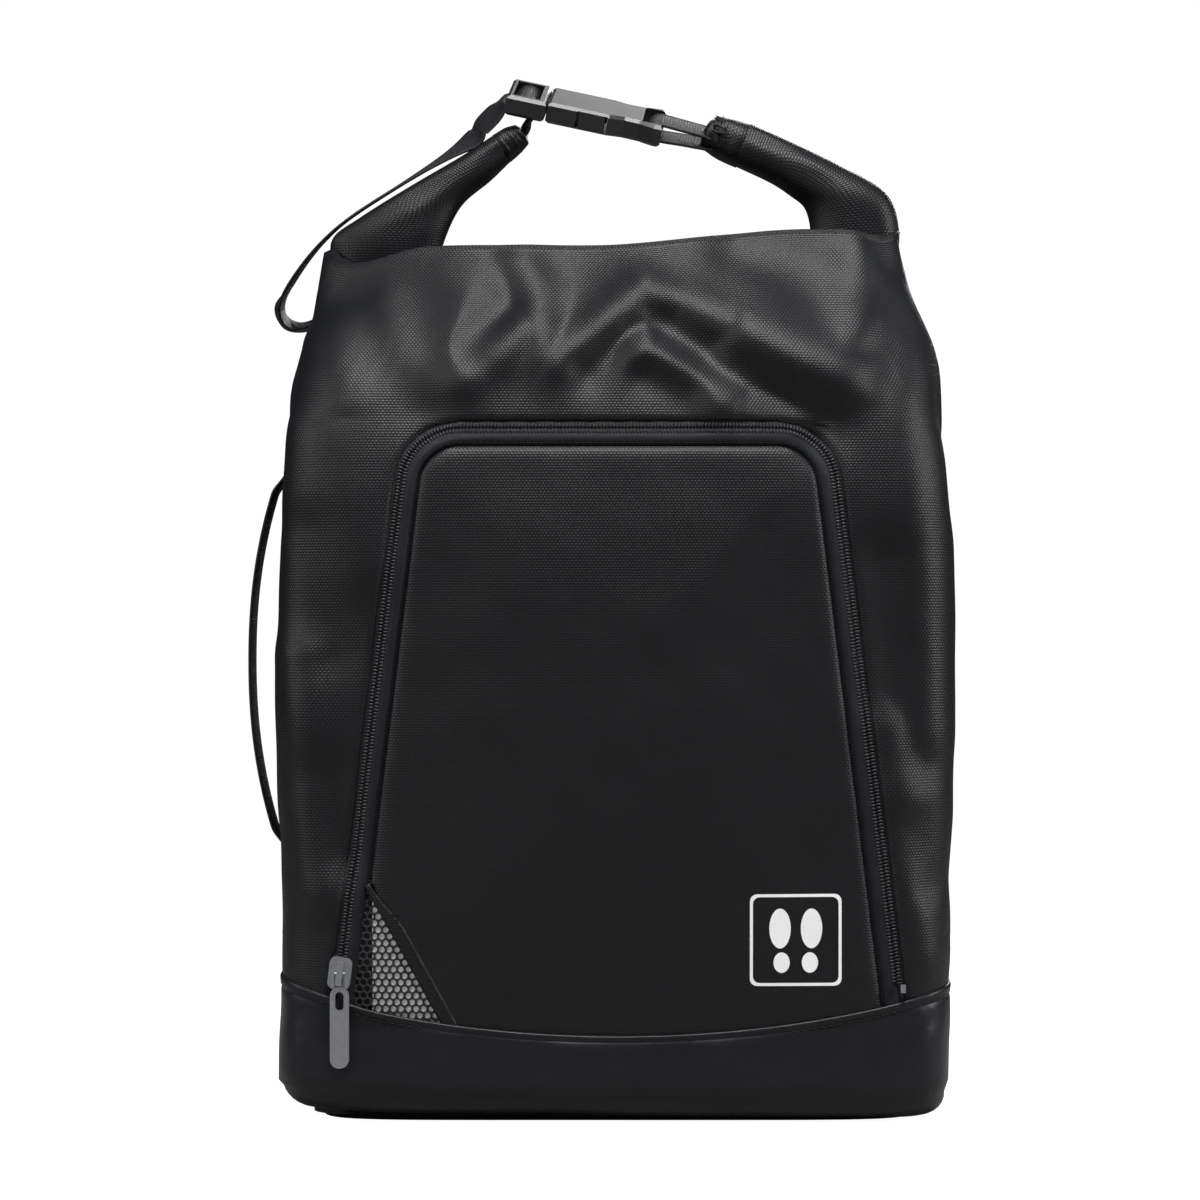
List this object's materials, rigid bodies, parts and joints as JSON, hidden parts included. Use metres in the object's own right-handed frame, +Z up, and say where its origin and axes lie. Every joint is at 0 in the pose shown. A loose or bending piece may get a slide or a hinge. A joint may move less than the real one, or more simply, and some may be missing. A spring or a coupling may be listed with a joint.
{
  "type": "shoe bag",
  "caption": "Roll-top shoe bag whose rolled mouth clips into a carry arch, with a zipped shoe door, mesh vent, coated base and side webbing grab handle.",
  "frame": {"origin": "centre of the base, on the floor", "axes": "+X to the right seen from the front, -Y out of the front (door) face, +Z up"},
  "size_m": [0.2812, 0.1291, 0.4099],
  "materials": {
    "body_fabric": "matt woven polyester with a soft sheen",
    "coated_base": "smooth coated synthetic leather, satin",
    "lining": "thin plain-weave lining",
    "board": "matt",
    "zip_tape": "matt twill tape",
    "zip_coil": "satin nylon coil",
    "webbing": "ribbed polyester webbing",
    "buckle": "fine grained moulded acetal",
    "slider": "black enamel",
    "pull_metal": "satin",
    "mesh": "open knitted mesh",
    "print": "flat white transfer print"
  },
  "bodies": {
    "bag": {"front_panel": "body_fabric", "back_panel": "body_fabric", "side_panel_left": "body_fabric", "side_panel_right": "body_fabric", "door_sill_strip": "body_fabric", "neck_panel": "body_fabric", "base_band": "coated_base", "base_panel": "coated_base", "base_board": "board", "pocket_lining": "lining", "zip_tape_body": "zip_tape", "zip_coil_body": "zip_coil", "zip_stop": "slider", "grab_end_lower": "webbing", "grab_end_upper": "webbing"},
    "door": {"door_panel": "body_fabric", "mesh_vent": "mesh", "vent_binding": "zip_tape", "badge_print": "print", "zip_tape_door": "zip_tape", "zip_coil_door": "zip_coil"},
    "slider": {"slider_body": "slider"},
    "pull": {"pull_tab": "pull_metal"},
    "arch": {"rolled_mouth": "body_fabric", "lip_stiffener": "board", "arm_left": "body_fabric", "arm_right": "body_fabric", "cuff_left": "body_fabric", "cuff_right": "body_fabric", "strap_left": "webbing", "strap_tail": "webbing", "strap_right": "webbing", "bartack_right": "webbing", "buckle_housing": "buckle"},
    "buckle_male": {"lock_frame": "buckle", "lock_webbing": "webbing"},
    "prong_front": {"prong_front": "buckle"},
    "prong_back": {"prong_back": "buckle"},
    "grab": {"grab_handle": "webbing"}
  },
  "joints": [
    {"name": "zip_slide", "type": "slide", "parent": "bag", "child": "slider", "axis": [0.1226, 0, 0.9925], "range_m": [0, 0.16], "deforming": ["zip_coil_body", "zip_coil_door"]},
    {"name": "pull_swing", "type": "hinge", "parent": "slider", "child": "pull", "pos_m": [-0.10601, -0.0649, 0.058], "axis": [-1, 0, 0], "range_deg": [0, 150]},
    {"name": "door_open", "type": "hinge", "parent": "bag", "child": "door", "pos_m": [0, -0.062, 0.05], "axis": [1, 0, 0], "range_deg": [0, 95]},
    {"name": "arch_tilt", "type": "hinge", "parent": "bag", "child": "arch", "pos_m": [0, 0, 0.33], "axis": [1, 0, 0], "range_deg": [-30, 30]},
    {"name": "buckle_release", "type": "slide", "parent": "arch", "child": "buckle_male", "axis": [-0.9781, 0, 0.2079], "range_m": [0, 0.024], "deforming": ["prong_front", "prong_back", "strap_left", "strap_tail"]},
    {"name": "prong_front_squeeze", "type": "hinge", "parent": "buckle_male", "child": "prong_front", "pos_m": [-0.02694, -0.00694, 0.39489], "axis": [0.1899, -0.4067, 0.8936], "range_deg": [0, 7], "stiffness_Nm_per_rad": 0.05},
    {"name": "prong_back_squeeze", "type": "hinge", "parent": "buckle_male", "child": "prong_back", "pos_m": [-0.02565, 0.00694, 0.40093], "axis": [-0.1899, 0.4067, -0.8936], "range_deg": [0, 7], "stiffness_Nm_per_rad": 0.05},
    {"name": "grab_swing", "type": "hinge", "parent": "bag", "child": "grab", "pos_m": [-0.1331, 0, 0.176], "axis": [0, 0, 1], "range_deg": [-20, 20]}
  ]
}
